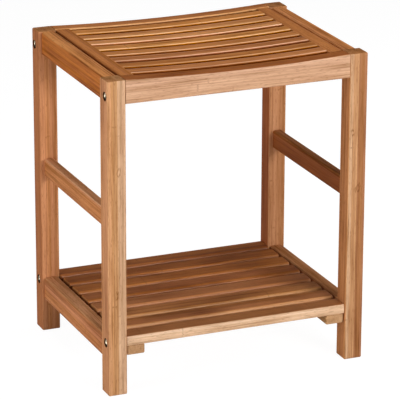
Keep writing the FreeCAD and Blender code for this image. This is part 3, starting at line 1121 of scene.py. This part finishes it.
@dataclass
class Fasteners:
    """The steel that holds the bench together: bolts, their barrel nuts and the cleat screws.

    Attributes:
        bolt_steel: Plating of the bolts and nuts.
        screw_steel: Plating of the screws.
        turning: How finely the parts are turned.
        sharpest_smooth: The largest angle between two faces, in degrees, that is shaded smooth.
    """

    bolt_steel: PlatedSteel
    screw_steel: PlatedSteel
    turning: Turning = Turning()
    sharpest_smooth: float = 40.0
    bolt_radius: float = 0.003
    head_radius: float = 0.005
    head_height: float = 0.006
    head_round: float = 0.0008
    head_rim: float = 0.0002
    socket_width: float = 0.005
    socket_depth: float = 0.003
    thread_length: float = 0.024
    thread_pitch: float = 0.001
    thread_depth: float = 0.00055
    apron_bolt_setback: float = 0.009
    shelf_bolt_setback: float = 0.012
    nut_radius: float = 0.005
    nut_bevel: float = 0.0005
    slot_width: float = 0.0012
    slot_depth: float = 0.0015
    screw_radius: float = 0.002
    screw_root_share: float = 0.7
    screw_head_radius: float = 0.0038
    screw_head_depth: float = 0.0026
    screw_tip: float = 0.004
    screw_ease: float = 0.0001
    screw_pitch: float = 0.0018
    screws_in_row: int = 8
    cross_length: float = 0.0042
    cross_width: float = 0.001
    cross_depth: float = 0.0016

    def __post_init__(self) -> None:
        """Find where the bolts run."""
        _, bench_high = cad_box
        bolt_low, bolt_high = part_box("frame_bolts")
        _, nut_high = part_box("barrel_nuts")
        self.seat_x = bolt_high.x - self.head_height
        self.upper_y = bench_high.y - self.apron_bolt_setback
        self.lower_y = bench_high.y - self.shelf_bolt_setback
        self.upper_z = bolt_high.z - self.head_radius
        self.lower_z = bolt_low.z + self.head_radius
        self.nut_x = nut_high.x - self.nut_radius
        self.nut_length = 2 * (nut_high.z - self.upper_z)
        self.bolt_length = self.seat_x - self.nut_x + self.nut_radius

    def bolts(self) -> Spots:
        """Place along Y and Z of each bolt in a rear leg."""
        return (self.upper_y, self.upper_z), (self.lower_y, self.lower_z)

    def build(self) -> None:
        """Make all the fasteners."""
        self._build_bolts()
        self._build_nuts()
        self._build_screws()

    def _corner_values(self, x: float, material: Material) -> dict[str, object]:
        """Inputs of a tree that sets a part at every bolt's corner of the bench."""
        return {
            "Half Span": x,
            "Upper Depth": self.upper_y,
            "Lower Depth": self.lower_y,
            "Upper Height": self.upper_z,
            "Lower Height": self.lower_z,
            "Seed": 5,
            "Material": material,
        }

    def _corners(self, tree: GeometryTree, part: object, spin: float) -> None:
        """Set a right-hand part at eight corners, turned about so that it faces outwards on the left.

        Args:
            tree: The tree to write.
            part: The part, made about the origin and facing +X.
            spin: The most that a part is turned at random about X.
        """
        levels = []
        for level in ("Upper", "Lower"):
            grid = tree.grid(tree["Half Span"] * 2, tree[level + " Depth"] * 2, 2)
            levels.append(tree.lifted(grid, tree[level + " Height"]))
        corners = tree.node("GeometryNodeJoinGeometry", Geometry=levels)
        about = math.pi - tree.position()[0].over(0.0) * math.pi
        smooth = tree.smooth_but_sharp(part, self.sharpest_smooth)
        tree.close(tree.spread(corners, smooth, tree.vector(tree.drawn(spin), z=about)))

    def _build_bolts(self) -> None:
        """Make the eight hex-socket bolts."""
        turning = self.turning
        head, rim = self.head_height, self.head_rim
        end = -self.bolt_length
        thread_start = end + self.thread_length
        root = self.bolt_radius - self.thread_depth
        loops = [
            (head - self.socket_depth, turning.hexagon(self.socket_width * 0.5)),
            (head - self.socket_depth, turning.hexagon(self.socket_width)),
            (head - rim, turning.hexagon(self.socket_width)),
            (head, turning.hexagon(self.socket_width + 2 * rim)),
            *turning.rounded(head, self.head_radius, self.head_round),
            (rim, self.head_radius),
            (0.0, self.head_radius - rim),
            (0.0, self.bolt_radius),
            (thread_start, self.bolt_radius),
            *turning.thread(thread_start, -self.thread_length, root, self.bolt_radius, self.thread_pitch),
            (end, root),
        ]
        start = turning.mesh("bolt", loops, Matrix.Rotation(math.pi / 2, 3, "Y"))
        material = self.bolt_steel.material("bolt_plating")
        tree = GeometryTree("corner_bolts", self._corner_values(self.seat_x, material))
        self._corners(tree, tree.given, 2 * math.pi)
        hand_over(tree.grow("hex_socket_bolts", start), Slot.BOLTS, "frame_bolts")

    def _build_nuts(self) -> None:
        """Make the eight barrel nuts, cross-drilled, with a driver slot in the end that shows."""
        turning = self.turning
        half, bevel = self.nut_length / 2, self.nut_bevel
        narrow, wide = self.nut_radius - bevel, self.nut_radius
        loops = [(-half, narrow), (bevel - half, wide), (half - bevel, wide), (half, narrow)]
        start = turning.mesh("nut", loops, Matrix.Identity(3))
        values = {
            **self._corner_values(self.nut_x, self.bolt_steel.material("nut_plating")),
            "Bore Radius": self.bolt_radius,
            "Slot Width": self.slot_width,
            "Slot Depth": self.slot_depth,
            "Nut Length": self.nut_length,
            "Nut Width": 2 * self.nut_radius,
        }
        tree = GeometryTree("corner_nuts", values)
        through = tree["Nut Width"] * 2
        bore = tree.node(
            "GeometryNodeMeshCylinder", Vertices=turning.sides, Radius=tree["Bore Radius"], Depth=through
        )
        across = tree.node("GeometryNodeTransform", Geometry=bore, Rotation=(0.0, math.pi / 2, 0.0))
        notch = tree.block(through, tree["Slot Width"], tree["Slot Depth"] * 2)
        slot = tree.lifted(notch, tree["Nut Length"] * -0.5)
        cut = tree.node("GeometryNodeMeshBoolean", EXACT_CUT, Mesh_1=tree.given, Mesh_2=[across, slot])
        self._corners(tree, cut, 0.0)
        hand_over(tree.grow("barrel_nut_set", start), Slot.BOLTS, "barrel_nuts")

    def _build_screws(self) -> None:
        """Make the countersunk screws that hold the shelf slats to their cleats."""
        turning = self.turning
        low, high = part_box("cleat_screws")
        length = high.z - low.z
        radius, head = self.screw_radius, self.screw_head_depth
        root = radius * self.screw_root_share
        shank = length - head - self.screw_tip
        loops = [
            (0.0, self.screw_head_radius - self.screw_ease),
            (2 * self.screw_ease, self.screw_head_radius),
            (head, radius),
            *turning.thread(head, shank, root, radius, self.screw_pitch),
            (length - self.screw_tip, root),
            (length, self.screw_ease),
        ]
        start = turning.mesh("screw", loops, Matrix.Identity(3))
        first_low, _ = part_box("shelf_slat_1")
        second_low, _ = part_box("shelf_slat_2")
        cleat_low, cleat_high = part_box("shelf_cleat_right")
        values = {
            "Row Count": self.screws_in_row,
            "Row Length": (second_low.y - first_low.y) * (self.screws_in_row - 1),
            "Outer Screw": high.y - self.screw_head_radius,
            "Half Span": (cleat_low.x + cleat_high.x) / 2,
            "Foot": low.z,
            "Cross Length": self.cross_length,
            "Cross Width": self.cross_width,
            "Cross Depth": self.cross_depth * 2,
            "Seed": 11,
            "Material": self.screw_steel.material("screw_plating"),
        }
        tree = GeometryTree("cleat_screw_rows", values)
        arms = []
        for width, depth in (("Cross Length", "Cross Width"), ("Cross Width", "Cross Length")):
            arms.append(tree.block(tree[width], tree[depth], tree["Cross Depth"]))
        cut = tree.node("GeometryNodeMeshBoolean", EXACT_CUT, Mesh_1=tree.given, Mesh_2=arms)
        grid = tree.grid(tree["Half Span"] * 2, tree["Row Length"], tree["Row Count"])

        # The outer screws stand clear of the bolts in the front and rear slat.
        x, y, _ = tree.position()
        outer = tree["Outer Screw"]
        held = tree.math("MINIMUM", tree.math("MAXIMUM", y, -1 * outer), outer)
        place = tree.vector(x, held, tree["Foot"])
        spots = tree.node("GeometryNodeSetPosition", Geometry=grid, Position=place)
        turn = tree.vector(z=tree.drawn(math.pi / 2))
        tree.close(tree.spread(spots, tree.smooth_but_sharp(cut, self.sharpest_smooth), turn))
        hand_over(tree.grow("countersunk_screws", start), Slot.SCREWS, "cleat_screws")


@dataclass(frozen=True)
class Lamp:
    """A soft box that looks at the bench.

    Attributes:
        name: Its name.
        azimuth: Where it stands round the bench, in degrees; 0 is the front and 90 the right.
        elevation: How high it stands, in degrees.
        distance: How far it stands from what it looks at.
        width: Its width.
        height: Its height.
        level: How bright a white surface that faces it would look.
        target: What it looks at.
    """

    name: str
    azimuth: float
    elevation: float
    distance: float
    width: float
    height: float
    level: float
    target: Triple = (0.0, -0.1, 0.25)

    def build(self) -> None:
        """Set the lamp up."""
        light = bpy.data.lights.new(self.name, "AREA")
        light.shape = "RECTANGLE"
        light.size = self.width
        light.size_y = self.height
        light.energy = self.level * (math.pi * self.distance) ** 2
        lamp = add_object(self.name, light)
        away = direction(self.azimuth, self.elevation)
        lamp.location = Vector(self.target) + away * self.distance
        lamp.visible_camera = False
        lamp.rotation_euler = (-away).to_track_quat("-Z", "Y").to_euler()


@dataclass
class Studio:
    """A pale floor, soft light and a camera where the photograph was taken from.

    Attributes:
        sky_level: Brightness of the room above the bench; it is white down at the horizon.
        sky_turn: Height of a direction where the white ends, and where the room is at its dimmest.
        floor_shade: How far the light that falls on the floor shows there.
        floor_glow: How white the floor looks without it.
        floor_colour: Colour of the light that the floor throws back.
        floor_size: Its width.
        floor_drop: How far it lies below the legs.
        lamps: The soft boxes.
        camera_place: Where the camera stands.
        camera_azimuth: Its place round the bench, in degrees.
        camera_elevation: How far it looks down, in degrees.
        camera_roll: How far it leans, in degrees.
        focal_pixels: Its focal length in pixels of the picture.
        picture_pixels: The picture's side in pixels.
        sensor_width: Width of its sensor in millimetres.
    """

    sky_level: float = 0.10
    sky_turn: tuple[float, float] = (0.04, 0.11)
    floor_shade: float = 0.12
    floor_glow: float = 0.955
    floor_colour: str = "dcdad6"
    floor_size: float = 16.0
    floor_drop: float = 0.0002
    lamps: tuple[Lamp, ...] = (
        Lamp("front_soft_box", 20.0, 14.0, 1.9, 0.7, 0.3, 0.70),
        Lamp("top_soft_box", 0.0, 85.0, 1.4, 0.8, 0.8, 0.60, (0.0, 0.0, 0.45)),
        Lamp("left_soft_box", -72.0, 3.0, 1.2, 0.5, 0.8, 0.74, (-0.19, -0.05, 0.22)),
        Lamp("right_soft_box", 110.0, 8.0, 1.8, 0.9, 0.9, 0.25),
    )
    camera_place: Triple = (-1.48420, -3.53873, 1.52503)
    camera_azimuth: float = -22.816
    camera_elevation: float = 18.814
    camera_roll: float = 0.191
    focal_pixels: float = 2813.5
    picture_pixels: float = 400.0
    sensor_width: float = 36.0

    def build(self) -> None:
        """Set up the floor, the surroundings, the lamps and the camera."""
        bpy.context.scene.view_settings.view_transform = "Standard"
        self._build_floor()
        self._build_sky()
        for lamp in self.lamps:
            lamp.build()
        self._build_camera()
        LOG.info("studio: floor, %d lamps and camera", len(self.lamps))

    def _build_floor(self) -> None:
        """Lay a wide pale floor that keeps the bench's shadow."""
        half = self.floor_size / 2
        mesh = bpy.data.meshes.new("floor")
        corners = [(-half, -half, 0.0), (half, -half, 0.0), (half, half, 0.0), (-half, half, 0.0)]
        mesh.from_pydata(corners, [], [(0, 1, 2, 3)])
        floor = add_object("floor", mesh)
        floor.location.z = -self.floor_drop
        graph = ShaderGraph("pale_floor")
        lit = graph.node("ShaderNodeBsdfDiffuse", Color=colour(self.floor_colour))
        faint = graph.node("ShaderNodeBsdfDiffuse", Color=(*(self.floor_shade,) * 3, 1.0))
        white = graph.node("ShaderNodeEmission", Strength=self.floor_glow)
        shown = graph.node("ShaderNodeAddShader", Shader=[white, faint])

        # Rays that show the floor as a picture see it white, and those that only light the bench do not.
        path = graph.node("ShaderNodeLightPath")
        seen = graph.math("MAXIMUM", graph.term(path, "Is Camera Ray"), graph.term(path, "Is Glossy Ray"))
        seen = graph.math("MAXIMUM", seen, graph.term(path, "Is Transmission Ray"))
        mixed = graph.node("ShaderNodeMixShader", Fac=seen, Shader=[lit, shown])
        mesh.materials.append(graph.finish(mixed))

    def _build_sky(self) -> None:
        """Surround the bench with a room that is white at the horizon and dim above."""
        world = bpy.data.worlds.new("dim_room")
        world.use_nodes = True
        bpy.context.scene.world = world
        tree = Tree(world.node_tree)
        height = tree.parts(tree.read("ShaderNodeTexCoord", "Generated"))[2]
        level = 1.0 - height.rise(*self.sky_turn) * (1.0 - self.sky_level)
        sky = tree.node("ShaderNodeBackground", Color=(1.0, 1.0, 1.0, 1.0), Strength=level)
        tree.node("ShaderNodeOutputWorld", Surface=sky)

    def _build_camera(self) -> None:
        """Stand the camera where the photograph was taken from."""
        lens = bpy.data.cameras.new("camera")
        lens.sensor_width = self.sensor_width
        lens.lens = self.focal_pixels / self.picture_pixels * self.sensor_width
        lens.clip_end = 100.0
        camera = add_object("camera", lens)
        back = direction(self.camera_azimuth, self.camera_elevation)
        turn = math.radians(self.camera_azimuth)
        right = Vector((math.cos(turn), math.sin(turn), 0.0))
        upright = Matrix((right, back.cross(right), back)).transposed()
        leaning = upright @ Matrix.Rotation(math.radians(self.camera_roll), 3, "Z")
        camera.matrix_world = Matrix.Translation(self.camera_place) @ leaning.to_4x4()
        bpy.context.scene.camera = camera


def main() -> None:
    """Dress the bench and set up the studio."""
    logging.basicConfig(level=logging.INFO, format="%(message)s")
    bamboo = BambooFinish()
    # The rails' paler edges are partly wear and partly a painted highlight.
    rail_bamboo = BambooFinish(wear_and_highlight=(1.3, 1.42, 1.55), cloudy=0.9)
    seat_bamboo = BambooFinish(painted_shade_colour="cc9c6a")
    # The seat slats' front edges take a strong painted highlight, and their front faces painted shade down in
    # the gaps.
    slat_bamboo = BambooFinish(
        painted_shade_colour="ca9652", painted_shade_turn=(0.72, 0.86), wear_and_highlight=(1.62, 2.40, 4.3), far_wear_and_highlight=0.15
    )
    front_bamboo = BambooFinish(painted_shade_colour="ba946f", cloudy=0.5, coat=0.3)
    shelf_bamboo = BambooFinish(painted_shade_colour="cda07a", cloudy=1.2, coat=0.3)
    cleat_bamboo = BambooFinish(end_tones=("a87f5a", "c09772"))
    fasteners = Fasteners(PlatedSteel("c4b79f", "8a7b62"), PlatedSteel("d2c08c", "a8905a"))
    # The second value of each look paints shade on its faces along X, Y and Z.
    left_legs = (
        BarLook(
            "c59369",
            (0.45, 0.0, 0.6),
            0.15,
            ((0.0, (1.05, 1.01, 0.98)), (0.31, (0.87, 0.84, 0.80)), (0.55, (1.02, 1.16, 1.40))),
            knots=((-0.179, -0.15, 0.326), (-0.183, -0.15, 0.148)),
        ),
        BarLook(
            "b37850",
            (0.4, 0.0, 0.4),
            0.15,
            (
                (0.0, (1.12, 1.14, 1.20)),
                (0.4, (0.97, 0.97, 0.97)),
                (0.7, (0.80, 0.76, 0.72)),
                (0.9, (1.20, 1.36, 1.50)),
            ),
        ),
    )
    left_rails = {
        "top_rail": BarLook("c4804a", (0.72, 0.0, 0.0), strips=((0.0, (0.87, 0.91, 0.82)),), streaky=2.2),
        "middle_stretcher": BarLook("cb956a", (0.62, 0.0, 0.3)),
        "lower_rail": BarLook("cd976c", (0.64, 0.0, 0.2)),
    }
    right_legs = (
        BarLook(
            "bb7d4b",
            (0.0, 0.0, 1.0),
            0.15,
            (
                (0.0, (1.15, 1.64, 2.73)),
                (0.22, (1.02, 1.26, 1.62)),
                (0.52, (0.70, 0.71, 0.81)),
                (0.85, (0.79, 0.86, 1.24)),
            ),
            knots=((0.1745, -0.15, 0.343), (0.183, -0.15, 0.2585)),
        ),
        BarLook(
            "b37d56",
            (0.95, 0.0, 0.85),
            0.1,
            ((0.0, (1.06, 1.07, 1.12)), (0.6, (0.88, 0.84, 0.82)), (0.9, (1.10, 1.12, 1.15))),
        ),
    )
    right_rails = {
        "top_rail": BarLook("cd8a55", (1.0, 0.0, 0.2), streaky=2.2),
        "middle_stretcher": BarLook("a16d44", (0.85, 0.0, 0.15)),
        "lower_rail": BarLook("b07c52", (0.6, 0.0, 0.3)),
    }
    SideFrame(Side.LEFT, left_legs, left_rails, bamboo, rail_bamboo, fasteners.bolts(), 3.0).dress()
    SideFrame(Side.RIGHT, right_legs, right_rails, bamboo, rail_bamboo, fasteners.bolts(), 103.0).dress()
    seat = Seat(seat_bamboo, slat_bamboo)
    seat.dress()
    seat.build()
    Shelf(front_bamboo, shelf_bamboo, cleat_bamboo).dress()
    fasteners.build()
    Studio().build()


if __name__ == "__main__":
    main()
